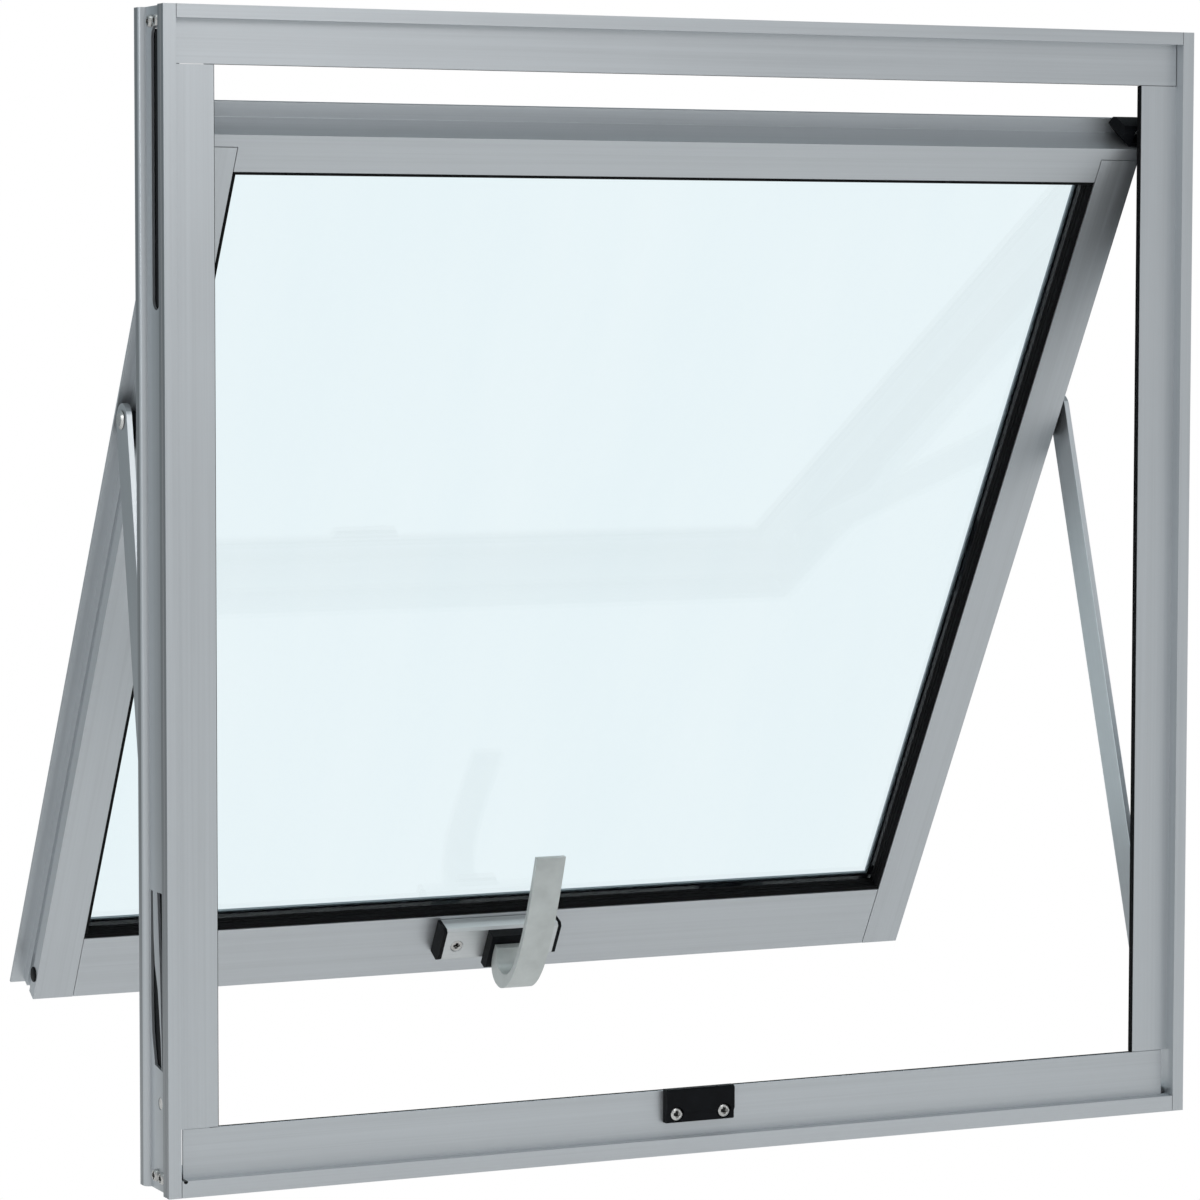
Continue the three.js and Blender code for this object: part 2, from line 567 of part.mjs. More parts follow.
// Rail section in (Y, Z). edge is the outline's edge and inward points to the glass.
function sashRailSection(edge, inward, face, rim) {
  const at = (n, a) => [faceY(n), edge + inward * a];
  const shape = outline([
    at(0, 0), at(0, face), at(REBATE_N, face), at(REBATE_N, face + REBATE_LIP),
    at(REBATE_N + WALL, face + REBATE_LIP), at(REBATE_N + WALL, face), at(SASH_DEPTH, face),
    at(SASH_DEPTH, -rim), at(RIM_FRONT_N, -rim), at(RIM_FRONT_N, 0),
  ]);
  const tube = outline([
    at(WALL, WALL), at(WALL, face - WALL), at(SASH_DEPTH - WALL, face - WALL),
    at(SASH_DEPTH - WALL, WALL),
  ]);
  return withVoids(shape, tube);
}

function addStile(sash, name, side) {
  const top = FACE_TOP - TOP_BAND - GAP;
  const bottom = FACE_BOTTOM - RIM_FOOT;
  const bar = alongZ(stileSection(side), bottom, FACE_TOP + RIM_TOP);
  const [f0, f1] = [side * (STILE_INNER - REBATE_LIP - 1), side * (SASH_W / 2 + GAP / 2)]
    .sort((a, b) => a - b);
  const topCope = box(f0, f1, faceY(-1), faceY(SASH_DEPTH + 1), top, FACE_TOP + RIM_TOP + 1);
  const bottomCope = box(
    f0, f1, faceY(-1), faceY(RIM_FRONT_N), bottom - 1, FACE_BOTTOM,
  );
  const lipX = [side * (STILE_INNER - REBATE_LIP - 1), side * STILE_INNER].sort((a, b) => a - b);
  const lipCopes = [
    box(...lipX, faceY(REBATE_N - 1), faceY(REBATE_N + WALL + 1),
      bottom - 1, RAIL_TOP + REBATE_LIP + GAP),
    box(...lipX, faceY(REBATE_N - 1), faceY(REBATE_N + WALL + 1),
      PANE_TOP - REBATE_LIP - GAP, FACE_TOP + RIM_TOP + 1),
  ];
  const plugBore = turnedX([
    [-WALL - 1, 0], [-WALL - 1, PLUG_BORE_R], [WALL + 1, PLUG_BORE_R], [WALL + 1, 0],
  ], 0, 0, 0).translate(side * SASH_W / 2, faceY(PLUG_N), FACE_BOTTOM + PLUG_RISE);
  const stile = cut(bar, topCope, bottomCope, ...lipCopes, plugBore);
  piece(sash, `sash_stile_${name}`, stile, ALUMINIUM);
}

function addSashRails(sash) {
  const inner = STILE_INNER - GAP;
  const bottom = alongX(
    sashRailSection(FACE_BOTTOM, 1, BOTTOM_FACE, RIM_FOOT), -inner, inner,
  );
  piece(sash, 'sash_bottom_rail', bottom, ALUMINIUM);

  const full = SASH_W / 2 - GAP / 2;
  const top = alongX(sashRailSection(FACE_TOP, -1, TOP_FACE, RIM_TOP), -full, full);
  const stileEnds = SIDES.map(([, side]) => {
    const [x0, x1] = [side * inner, side * (full + 1)].sort((a, b) => a - b);
    return box(
      x0, x1, faceY(-1), faceY(SASH_DEPTH + 1),
      PANE_TOP - REBATE_LIP - 1, FACE_TOP - TOP_BAND,
    );
  });
  piece(sash, 'sash_top_rail', cut(top, ...stileEnds), ALUMINIUM);
}

// Glass, the wedge gaskets that line the rebate on the room side, and the outdoor strips.
function addGlazing(sash) {
  const seat = GLASS_FRONT + GLASS_T;
  const paneX = STILE_INNER - 1.5;
  const pane = box(
    -paneX, paneX, faceY(GLASS_FRONT), faceY(seat),
    RAIL_TOP + 1.5, PANE_TOP - 1.5,
  );
  piece(sash, 'glass_pane', pane, GLASS);

  const start = 0.8;
  const stop = GLASS_FRONT - 0.1;
  const outdoor = [seat + 0.1, REBATE_N - 0.1];
  const across = (z, inward, thickness, n0, n1, half) => {
    const [z0, z1] = [z + inward * 0.1, z + inward * (thickness + 0.1)].sort((a, b) => a - b);
    return box(-half, half, faceY(n0), faceY(n1), z0, z1);
  };
  const upright = (side, thickness, n0, n1, margin) => {
    const [x0, x1] = [side * (STILE_INNER - 0.1), side * (STILE_INNER - 0.1 - thickness)]
      .sort((a, b) => a - b);
    return box(x0, x1, faceY(n0), faceY(n1), RAIL_TOP + margin, PANE_TOP - margin);
  };
  const rails = [['top', PANE_TOP, -1], ['bottom', RAIL_TOP, 1]];
  for (const [name, z, inward] of rails) {
    const half = STILE_INNER - 0.1;
    const inside = across(z, inward, GASKET_T, start, stop, half);
    piece(sash, `glazing_gasket_${name}`, inside, RUBBER);
    const outside = across(z, inward, OUTDOOR_GASKET_T, outdoor[0], outdoor[1], half);
    piece(sash, `outdoor_gasket_${name}`, outside, RUBBER);
  }
  for (const [name, side] of SIDES) {
    const inside = upright(side, GASKET_T, start, stop, GASKET_T + 0.2);
    piece(sash, `glazing_gasket_${name}`, inside, RUBBER);
    const outside = upright(
      side, OUTDOOR_GASKET_T, outdoor[0], outdoor[1], OUTDOOR_GASKET_T + 0.2,
    );
    piece(sash, `outdoor_gasket_${name}`, outside, RUBBER);
  }
}

// Nylon corner block on the top rail with the pin that carries the sliding shoe. Its free
// end is pointed, and a pocket in its room side shows the pin.
function addTopPivot(sash, name, side) {
  const inner = TOP_BLOCK_INNER[name];
  const outer = TOP_BLOCK_OUTER;
  const floor = FACE_TOP + GAP;
  const crown = 5.2;
  const back = RIM_FRONT_N - GAP;
  const section = outline([
    [faceY(2.5), floor], [faceY(back), floor],
    [faceY(back), 4], [faceY(16), crown], [faceY(6), crown], [faceY(2.5), 2.5],
  ]);
  const block = alongX(section, inner, outer);
  const lowBevel = outline([
    [inner - 1, 0], [inner - 1, floor - 1], [inner + 6.2, floor - 1], [inner + 6.2, floor],
    [inner, 0],
  ]);
  const highBevel = outline([
    [inner - 1, 0], [inner, 0], [inner + 2.1, crown], [inner + 2.1, crown + 1],
    [inner - 1, crown + 1],
  ]);
  const bevels = [lowBevel, highBevel].map((shape) =>
    alongY(shape, faceY(0), faceY(SASH_DEPTH)));
  const pocket = box(...TOP_POCKET_X, faceY(0), faceY(TRACK_DEPTH), -3.4, 3.4);
  const bore = pinBore(TOP_PIN_X[0] - 0.3, outer, 0, 0);
  piece(sash, `top_pivot_block_${name}`, handed(cut(block, ...bevels, pocket, bore), side), NYLON);
  const pin = turnedX([
    [TOP_PIN_X[0], 0], [TOP_PIN_X[0], PIN_R], [TOP_PIN_X[1], PIN_R], [TOP_PIN_X[1], 0],
  ], 0, 0, 0);
  piece(sash, `top_pivot_pin_${name}`, handed(pin, side), STEEL);
}

// Nylon packer in the stile's side with the rivet that carries the arm's upper eye.
function addStayPivot(sash, name, side) {
  const foot = SASH_W / 2 + GAP;
  const top = ARM_X_HIGH - ARM_T / 2 - 0.6;
  const packer = alongX(capsule(5, PACKER_HALF), foot, top)
    .translate(0, 0, -PIVOT_SPACING - PACKER_DROP);
  const bore = pinBore(foot, top, -PIVOT_SPACING);
  const face = ARM_X_HIGH + ARM_T / 2;
  const rivet = turnedX([
    [foot + 0.2, 0], [foot + 0.2, PIN_R], [face + 0.35, PIN_R], [face + 0.4, 5.2],
    [face + 1.6, 3.8], [face + 1.6, 0],
  ], 0, 0, 0).translate(0, 0, -PIVOT_SPACING);
  piece(sash, `stay_packer_${name}`, handed(cut(packer, bore), side), NYLON);
  piece(sash, `stay_rivet_${name}`, handed(rivet, side), STEEL);
}

// Round plug in the side of each stile, near its foot.
function addStilePlug(sash, name, side) {
  const profile = [
    [-2.2, 0], [-2.2, PLUG_SHANK_R], [0.05, PLUG_SHANK_R], [0.05, PLUG_R], [0.5, PLUG_R],
    [0.8, PLUG_R - 0.5], [0.8, 0],
  ];
  const plug = turnedX(profile, SASH_W / 2, faceY(PLUG_N), FACE_BOTTOM + PLUG_RISE);
  piece(sash, `stile_plug_${name}`, handed(plug, side), NYLON);
}

// ---- Handle -------------------------------------------------------------------------------
// Section of the handle base in (Y, Z), with bevelled edges.
function handleSection() {
  const back = faceY(-GAP);
  const front = faceY(-HANDLE_DEPTH);
  const top = RAIL_TOP - HANDLE_TOP;
  const bottom = RAIL_TOP - HANDLE_BOTTOM;
  return outline([
    [back, bottom], [front + 3, bottom], [front, bottom + 2.6],
    [front, top - 1.4], [front + 1.8, top], [back, top - 1],
  ]);
}

function addHandleBase(sash) {
  const half = HANDLE_HALF - HANDLE_CAP - 0.1;
  const z = RAIL_TOP - HANDLE_SCREW_DROP;
  const front = faceY(-HANDLE_DEPTH);
  const seats = SIDES.map(([, side]) => turnedY([
    [front - 1, 0], [front - 1, 3.9], [front + 0.3, 3.9], [front + 2.4, 2.1],
    [faceY(1), 2.1], [faceY(1), 0],
  ], side * HANDLE_SCREW_X, 0, z));
  piece(sash, 'handle_base', cut(alongX(handleSection(), -half, half), ...seats), HANDLE_METAL);
  for (const [name, side] of SIDES) {
    const [x0, x1] = [side * (HANDLE_HALF - HANDLE_CAP), side * HANDLE_HALF]
      .sort((a, b) => a - b);
    piece(sash, `handle_end_cap_${name}`, alongX(handleSection(), x0, x1), NYLON);
    const top = front + 0.35;
    const body = turnedY([
      [top, 0], [top, 3.5], [top + 0.2, 3.6], [top + 2.2, 1.8], [faceY(-0.6), 1.8],
      [faceY(-0.6), 0],
    ], side * HANDLE_SCREW_X, 0, z);
    const head = cut(body, ...crossRecess(1.6, 2, side * HANDLE_SCREW_X, top, z, 'y'));
    piece(sash, `handle_screw_${name}`, head, STEEL);
  }
}

// The block's front plate carries the lever's spindle; behind it an L-shaped wall leaves
// the lower right quadrant free for the latch tongue.
function addLatchBlock(sash) {
  const zTop = RAIL_TOP - LATCH_TOP;
  const zBottom = RAIL_TOP - LATCH_BOTTOM;
  const x0 = LATCH_X - LATCH_HALF;
  const x1 = LATCH_X + LATCH_HALF;
  const plateBack = faceY(-LATCH_FRONT + 3.6);
  const plate = alongY(rect(x0, x1, zBottom, zTop), faceY(-LATCH_FRONT), plateBack);
  const wall = alongY(
    outline([
      [x0, zBottom], [x0 + 4.4, zBottom], [x0 + 4.4, zTop - 4], [x1, zTop - 4],
      [x1, zTop], [x0, zTop],
    ]),
    plateBack - 0.5, faceY(-HANDLE_DEPTH - GAP),
  );
  const z = RAIL_TOP - LEVER_PIVOT_DROP;
  const bore = turnedY([
    [faceY(-LATCH_FRONT) - 1, 0], [faceY(-LATCH_FRONT) - 1, 4.15],
    [plateBack + 1, 4.15], [plateBack + 1, 0],
  ], LATCH_X, 0, z);
  const chamfer = alongX(
    outline([
      [faceY(-LATCH_FRONT) - 1, zBottom - 1], [faceY(-LATCH_FRONT) + 3, zBottom - 1],
      [faceY(-LATCH_FRONT) - 1, zBottom + 3],
    ]),
    x0 - 1, x1 + 1,
  );
  piece(sash, 'latch_block', cut(join(plate, wall), bore, chamfer), NYLON);
}

// Side outline of the lever in (Y, Z): a short back leg, a thick turn and a long thin
// front blade that bows away from the sash. Lengths are in front of and below the rail.
function addLever(sash) {
  const at = (front, drop) => new THREE.Vector2(faceY(-front), RAIL_TOP - drop);
  const shape = new THREE.Shape();
  const move = (method, ...points) =>
    shape[method](...points.flatMap((p) => [p.x, p.y]));
  move('moveTo', at(19.6, 7.4));
  move('lineTo', at(19.6, 14));
  move('bezierCurveTo', at(19.6, 22), at(24.5, 26.6), at(31, 26.6));
  move('bezierCurveTo', at(41, 26.6), at(47.5, 18), at(50, 2));
  move('bezierCurveTo', at(51.4, -14), at(50.4, -34), at(42.6, -72.4));
  move('lineTo', at(39.8, -71.4));
  move('bezierCurveTo', at(47.2, -34), at(48.6, -16), at(46.4, 1));
  move('bezierCurveTo', at(44, 12), at(39, 16.2), at(32, 16.2));
  move('bezierCurveTo', at(26, 16.2), at(23.4, 13), at(23.4, 7.4));
  const x0 = LATCH_X - LEVER_W / 2;
  const blade = alongX(shape, x0, x0 + LEVER_W);
  const z = RAIL_TOP - LEVER_PIVOT_DROP;
  const eye = turnedY([
    [faceY(-22.4), 0], [faceY(-22.4), 2.6], [faceY(-18), 2.6], [faceY(-18), 0],
  ], LATCH_X, 0, z);
  piece(sash, 'handle_lever', cut(blade, eye), HANDLE_METAL);

  const spindle = turnedY([
    [faceY(-22), 0], [faceY(-22), 2.4], [faceY(-19.3), 2.4], [faceY(-19.2), 4],
    [faceY(-15.6), 4], [faceY(-15.6), 2.9], [faceY(-12.5), 2.9], [faceY(-12.5), 0],
  ], LATCH_X, 0, z);
  piece(sash, 'lever_spindle', spindle, STEEL);

  const tongueShape = new THREE.Shape();
  tongueShape.absarc(LATCH_X, z, 5.6, Math.PI / 2, 3 * Math.PI / 2);
  tongueShape.lineTo(LATCH_X + TONGUE_LENGTH - 3, z - 4.4);
  tongueShape.lineTo(LATCH_X + TONGUE_LENGTH, z - 1.4);
  tongueShape.lineTo(LATCH_X + TONGUE_LENGTH, z + 4.4);
  const tongue = alongY(
    withVoids(tongueShape, roundVoid(LATCH_X, z, 3.05)), faceY(-15.3), faceY(-12.6),
  );
  piece(sash, 'latch_tongue', tongue, STEEL);
}

// ---- Assembly -----------------------------------------------------------------------------
const group = new THREE.Group();
addFrame(group);
addKeeper(group);

const sash = new THREE.Group();
sash.position.set(0, 0, TOP_PIVOT_Z);
sash.rotation.x = SASH_OPEN;
group.add(sash);

addSashRails(sash);
addGlazing(sash);
for (const [name, side] of SIDES) {
  addArm(group, name, side);
  addShoe(group, name, side);
  addStile(sash, name, side);
  addTopPivot(sash, name, side);
  addStayPivot(sash, name, side);
  addStilePlug(sash, name, side);
}
addHandleBase(sash);
addLatchBlock(sash);
addLever(sash);

export default group;
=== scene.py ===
"""Looks of a top-hung projecting window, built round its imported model. Metres, +Z up.

The frame, sash, stay arms, latch lever and their small parts keep their own solids, which
get soft edges and procedural materials here. Gaskets and seals are replaced by moulded
profiles.
"""
import math

import bmesh
import bpy
from mathutils import Euler, Matrix, Vector


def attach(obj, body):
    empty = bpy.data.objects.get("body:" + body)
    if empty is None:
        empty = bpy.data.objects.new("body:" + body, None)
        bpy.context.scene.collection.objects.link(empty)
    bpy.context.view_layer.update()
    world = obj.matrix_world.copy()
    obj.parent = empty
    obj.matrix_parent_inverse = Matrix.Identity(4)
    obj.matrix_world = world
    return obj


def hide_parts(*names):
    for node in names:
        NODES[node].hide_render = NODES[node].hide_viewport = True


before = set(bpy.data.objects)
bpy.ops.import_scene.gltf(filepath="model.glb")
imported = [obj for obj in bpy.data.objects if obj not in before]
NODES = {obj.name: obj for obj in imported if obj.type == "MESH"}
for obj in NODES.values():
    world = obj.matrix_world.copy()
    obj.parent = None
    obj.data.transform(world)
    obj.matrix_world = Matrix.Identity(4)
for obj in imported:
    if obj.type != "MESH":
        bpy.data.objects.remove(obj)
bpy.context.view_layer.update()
SCENE = bpy.context.scene
MM = 0.001
SHARP_ANGLE = 32            # degrees between faces from which an edge is rounded
PROFILE_SHARP_ANGLE = 25
PROFILE_EDGE = 0.06 * MM
SASH_ANGLE = math.radians(30.1)
ARM_LEAN = math.radians(-14.7)
DRAIN_HOLE = (-0.29095, -0.022, 0.00834)
CAMERA_PLACE = (-1.05329, -2.15738, 0.46219)
CAMERA_TURNS = (24.93, 4.02, 0.09)      # azimuth, drop and roll in degrees
CAMERA_LENS = 135.5763                  # millimetres, on a 36 mm wide sensor
CHANNEL_X = 0.2963      # the jamb surfaces further out than this are its outer side
# Studio brightness by direction, from straight ahead of the window (0) to behind it (1).
WORLD_RING = (
    (0.0, (0.54, 0.555, 0.57)), (0.35, (0.52, 0.535, 0.55)),
    (0.6, (0.31, 0.355, 0.38)), (1.0, (0.27, 0.32, 0.345)),
)
WORLD_TOP = (0.36, 0.41, 0.43)
FLOOR_GLOW = (0.44, 0.12)   # under the window and behind it
FLOOR_GLOW_Y = (0.3, 1.1)   # the glow fades between these depths
FLOOR_RADIUS = 14
FLOOR_DROP = 0.3 * MM

# Painted shade and highlights on the metal, darker and lighter places as (metres, share of the
# colour).
CHANNEL_PAINTED_SHADE = (       # painted shade in the jamb's side channel, along Y, from the lip's side over the channel floor to the rim's side
    (-21.8 * MM, 1), (-21.5 * MM, 0.5), (-13.4 * MM, 0.5), (-4 * MM, 0.74), (9 * MM, 1),
    (14 * MM, 1), (17 * MM, 1), (17.6 * MM, 0.5), (21.7 * MM, 0.6), (21.9 * MM, 1),
)
ARM_PAINTED_LIGHT = ((0, 1), (0.35 * MM, 1), (0.5 * MM, 0.6), (3 * MM, 0.58))   # painted highlight on the room edge and painted shade on the rest of the face, from its room edge
DRAIN_PAINTED_SHADE = ((0, 0.01), (1.0 * MM, 0.02), (1.3 * MM, 1))              # painted shade in the sill's drain hole, from its middle
DRIVE_PAINTED_SHADE = ((0, 0.03), (0.38, 0.05), (0.5, 1), (1, 1))   # painted shade in the screw drives, from the middle, in head radii


# ---- Node graph helpers --------------------------------------------------------------------
class Graph:
    """A material's node tree with short calls for the nodes used here."""

    def __init__(self, name):
        self.material = bpy.data.materials.new(name)
        self.material.use_nodes = True
        self.tree = self.material.node_tree
        self.shader = self.tree.nodes["Principled BSDF"]
        self.place = self.tree.nodes.new("ShaderNodeTexCoord").outputs["Object"]

    def join(self, source, target):
        self.tree.links.new(source, target)

    def node(self, kind, **settings):
        """A new shader node with its settings."""
        made = self.tree.nodes.new("ShaderNode" + kind)
        for key, value in settings.items():
            setattr(made, key, value)
        return made

    def turned(self, angle, scale):
        """Object coordinates turned back by angle about X, then scaled."""
        turn = self.node("Mapping")
        turn.inputs["Rotation"].default_value = (-angle, 0, 0)
        self.join(self.place, turn.inputs["Vector"])
        size = self.node("Mapping")
        size.inputs["Scale"].default_value = scale
        self.join(turn.outputs["Vector"], size.inputs["Vector"])
        return size.outputs["Vector"]

    def noise(self, vector, detail=2.0, roughness=0.5):
        """Noise whose size is set by the mapping of its coordinates."""
        made = self.node("TexNoise")
        self.join(vector, made.inputs["Vector"])
        made.inputs["Scale"].default_value = 1.0
        made.inputs["Detail"].default_value = detail
        made.inputs["Roughness"].default_value = roughness
        return made.outputs["Fac"]

    def span(self, value, low, high, start=0.3, stop=0.7):
        """Maps a noise value from start..stop to low..high."""
        made = self.node("MapRange")
        self.join(value, made.inputs["Value"])
        made.inputs["From Min"].default_value = start
        made.inputs["From Max"].default_value = stop
        made.inputs["To Min"].default_value = low
        made.inputs["To Max"].default_value = high
        return made.outputs["Result"]

    def maths(self, operation, a, b=0):
        """One operation on two values, each a socket or a number."""
        made = self.node("Math", operation=operation)
        for socket, value in zip(made.inputs, (a, b)):
            if isinstance(value, bpy.types.NodeSocket):
                self.join(value, socket)
            else:
                socket.default_value = value
        return made.outputs["Value"]

    def ramp(self, value, *stops):
        """Colour ramp through (position, (r, g, b)) stops."""
        made = self.node("ValToRGB")
        self.join(value, made.inputs["Fac"])
        elements = made.color_ramp.elements
        while len(elements) < len(stops):
            elements.new(0.5)
        for element, (position, colour) in zip(elements, stops):
            element.position = position
            element.color = (*colour, 1)
        return made.outputs["Color"]

    def bump(self, height, distance, strength):
        """Height in metres on the shader's normal."""
        made = self.node("Bump")
        made.inputs["Strength"].default_value = strength
        made.inputs["Distance"].default_value = distance
        self.join(height, made.inputs["Height"])
        self.join(made.outputs["Normal"], self.shader.inputs["Normal"])

    def between(self, value, *stops):
        """Grey ramp through (place, level) stops, places in the value's own units."""
        first, last = stops[0][0], stops[-1][0]
        fraction = self.span(value, 0, 1, first, last)
        return self.ramp(fraction, *(
            ((place - first) / (last - first), (level,) * 3) for place, level in stops
        ))

    def scaled(self, colour, factor):
        """A colour times a grey."""
        made = self.node("Mix", data_type="RGBA", blend_type="MULTIPLY")
        made.inputs["Factor"].default_value = 1.0
        self.join(colour, made.inputs[6])
        self.join(factor, made.inputs[7])
        return made.outputs[2]

    def part(self, vector, axis):
        """One component of a vector."""
        apart = self.node("SeparateXYZ")
        self.join(vector, apart.inputs["Vector"])
        return apart.outputs[axis]

    def from_line(self, point, direction):
        """Distance from a line, in metres."""
        away = self.node("VectorMath", operation="SUBTRACT")
        self.join(self.place, away.inputs[0])
        away.inputs[1].default_value = point
        across = self.node("VectorMath", operation="CROSS_PRODUCT")
        self.join(away.outputs["Vector"], across.inputs[0])
        across.inputs[1].default_value = direction
        size = self.node("VectorMath", operation="LENGTH")
        self.join(across.outputs["Vector"], size.inputs[0])
        return size.outputs["Value"]

    def set(self, **values):
        """Inputs of the shader; an underscore in a name stands for a space."""
        for key, value in values.items():
            socket = self.shader.inputs[key.replace("_", " ")]
            if isinstance(value, bpy.types.NodeSocket):
                self.join(value, socket)
            else:
                socket.default_value = value


# ---- Materials -----------------------------------------------------------------------------
def along(axis, fine, coarse):
    """Mapping scale for streaks that run along one axis."""
    return tuple(coarse if name == axis else fine for name in "xyz")


def extrusion(name, axis, angle=0.0, tone=(0.60, 0.625, 0.645), shade=None):
    """Satin anodised extrusion: drawing lines along its length and a faint mottle. shade
    returns a grey of painted light and shade that multiplies its colour."""
    g = Graph(name)
    lines = g.noise(g.turned(angle, along(axis, 900, 5)), detail=3, roughness=0.65)
    bands = g.noise(g.turned(angle, along(axis, 170, 2.2)), detail=2, roughness=0.5)
    cloud = g.noise(g.turned(angle, (9, 9, 9)), detail=3, roughness=0.6)
    grain = g.noise(g.turned(angle, (2600, 2600, 2600)), detail=1)
    mix = g.maths("ADD", g.maths("MULTIPLY", lines, 0.45), g.maths("MULTIPLY", bands, 0.35))
    mix = g.maths("ADD", mix, g.maths("MULTIPLY", cloud, 0.2))
    low = tuple(c * 0.95 for c in tone)
    high = tuple(min(1, c * 1.04) for c in tone)
    colour = g.ramp(mix, (0.38, low), (0.5, tone), (0.62, high))
    if shade:
        colour = g.scaled(colour, shade(g))
    g.set(Base_Color=colour, Metallic=0.85, Roughness=g.span(mix, 0.34, 0.46))
    height = g.maths("ADD", g.maths("MULTIPLY", lines, 0.7), g.maths("MULTIPLY", grain, 0.3))
    g.bump(height, 0.00002, 0.4)
    return g.material


def channel_painted_shade(g):
    """Painted shade in the side channel of a jamb and on the sides next to it."""
    depth = g.between(g.part(g.place, "Y"), *CHANNEL_PAINTED_SHADE)
    across = g.maths("ABSOLUTE", g.part(g.place, "X"))
    outside = g.maths("GREATER_THAN", across, CHANNEL_X)
    made = g.node("Mix", data_type="RGBA")
    g.join(outside, made.inputs["Factor"])
    made.inputs[6].default_value = (1, 1, 1, 1)
    g.join(depth, made.inputs[7])
    return made.outputs[2]


def arm_edge_painted_light(g):
    """Painted highlight along the room-side edge of the stay arms, and painted shade over the
    rest of their face.
    """
    turn = Matrix.Rotation(-ARM_LEAN, 3, "X")
    edge = min((turn @ v.co).y for v in NODES["stay_arm_right"].data.vertices)
    place = g.part(g.turned(ARM_LEAN, (1, 1, 1)), "Y")
    return g.between(place, *((edge + inside, level) for inside, level in ARM_PAINTED_LIGHT))


def drain_painted_shade(g):
    """Painted shade in the drain hole at the left end of the sill."""
    return g.between(g.from_line(DRAIN_HOLE, (0, 1, 0)), *DRAIN_PAINTED_SHADE)


def blasted(name, tone, metallic=0.8, roughness=(0.42, 0.52)):
    """Matt anodised metal with an even fine grain."""
    g = Graph(name)
    grain = g.noise(g.turned(0, (2200, 2200, 2200)), detail=2)
    cloud = g.noise(g.turned(0, (60, 60, 60)), detail=3, roughness=0.6)
    low = tuple(c * 0.9 for c in tone)
    high = tuple(min(1, c * 1.07) for c in tone)
    g.set(
        Base_Color=g.ramp(cloud, (0.32, low), (0.52, tone), (0.7, high)),
        Metallic=metallic,
        Roughness=g.span(grain, *roughness),
    )
    g.bump(grain, 0.00003, 0.5)
    return g.material


def polished(name, tone, screws=(), angle=0.0, axis=1):
    """Bright zinc-plated steel with light swirl marks, and painted shade in the drives of screws
    that lie along an axis of the box they are drawn in."""
    g = Graph(name)
    swirl = g.noise(g.turned(0, (700, 700, 700)), detail=4, roughness=0.7)
    spots = g.noise(g.turned(0, (160, 160, 160)), detail=3)
    colour = g.ramp(spots, (0.3, tuple(c * 0.78 for c in tone)), (0.6, tone))
    # Painted shade in the drive of each screw.
    for screw in screws:
        low, high, turn = tight_box(screw, angle)
        direction = Vector((0, 0, 0))
        direction[axis] = 1
        distance = g.from_line(turn @ ((low + high) / 2), turn @ direction)
        radius = (high.z - low.z) / 2
        drive_shade_stops = ((part * radius, level) for part, level in DRIVE_PAINTED_SHADE)
        colour = g.scaled(colour, g.between(distance, *drive_shade_stops))
    g.set(
        Base_Color=colour,
        Metallic=1.0,
        Roughness=g.span(swirl, 0.18, 0.34),
    )
    g.bump(swirl, 0.00002, 0.4)
    return g.material


def moulded(name, tone, roughness=(0.45, 0.6), grain_size=1500):
    """Black moulded nylon or rubber with a fine spark-eroded grain."""
    g = Graph(name)
    grain = g.noise(g.turned(0, (grain_size,) * 3), detail=3, roughness=0.6)
    cloud = g.noise(g.turned(0, (70, 70, 70)), detail=2)
    g.set(
        Base_Color=g.ramp(cloud, (0.35, tone), (0.7, tuple(c * 1.8 for c in tone))),
        Roughness=g.span(grain, *roughness),
        Specular_IOR_Level=0.12,
    )
    g.bump(grain, 0.00004, 0.5)
    return g.material


def pane(name):
    """Clear glass with a faint cloudy film."""
    g = Graph(name)
    film = g.noise(g.turned(SASH_ANGLE, (14, 14, 3)), detail=4, roughness=0.6)
    g.set(
        Base_Color=g.ramp(film, (0.3, (0.805, 0.91, 0.945)), (0.7, (0.83, 0.925, 0.955))),
        Roughness=g.span(film, 0.0, 0.012),
        Transmission_Weight=1.0,
        IOR=1.45,
        Specular_IOR_Level=0.1,
    )
    return g.material


# ---- Soft edges ----------------------------------------------------------------------------
def soft_edges(o, width, angle=SHARP_ANGLE):
    """Welds the solid's corners, rounds its sharp edges and smooths the shading."""
    weld = o.modifiers.new("weld", "WELD")
    weld.merge_threshold = 1e-6
    smooth_by_angle(o, angle)
    bevel = o.modifiers.new("bevel", "BEVEL")
    bevel.width = width
    bevel.segments = 2
    bevel.limit_method = "ANGLE"
    bevel.angle_limit = math.radians(angle)
    bevel.harden_normals = True
    bevel.miter_outer = "MITER_ARC"


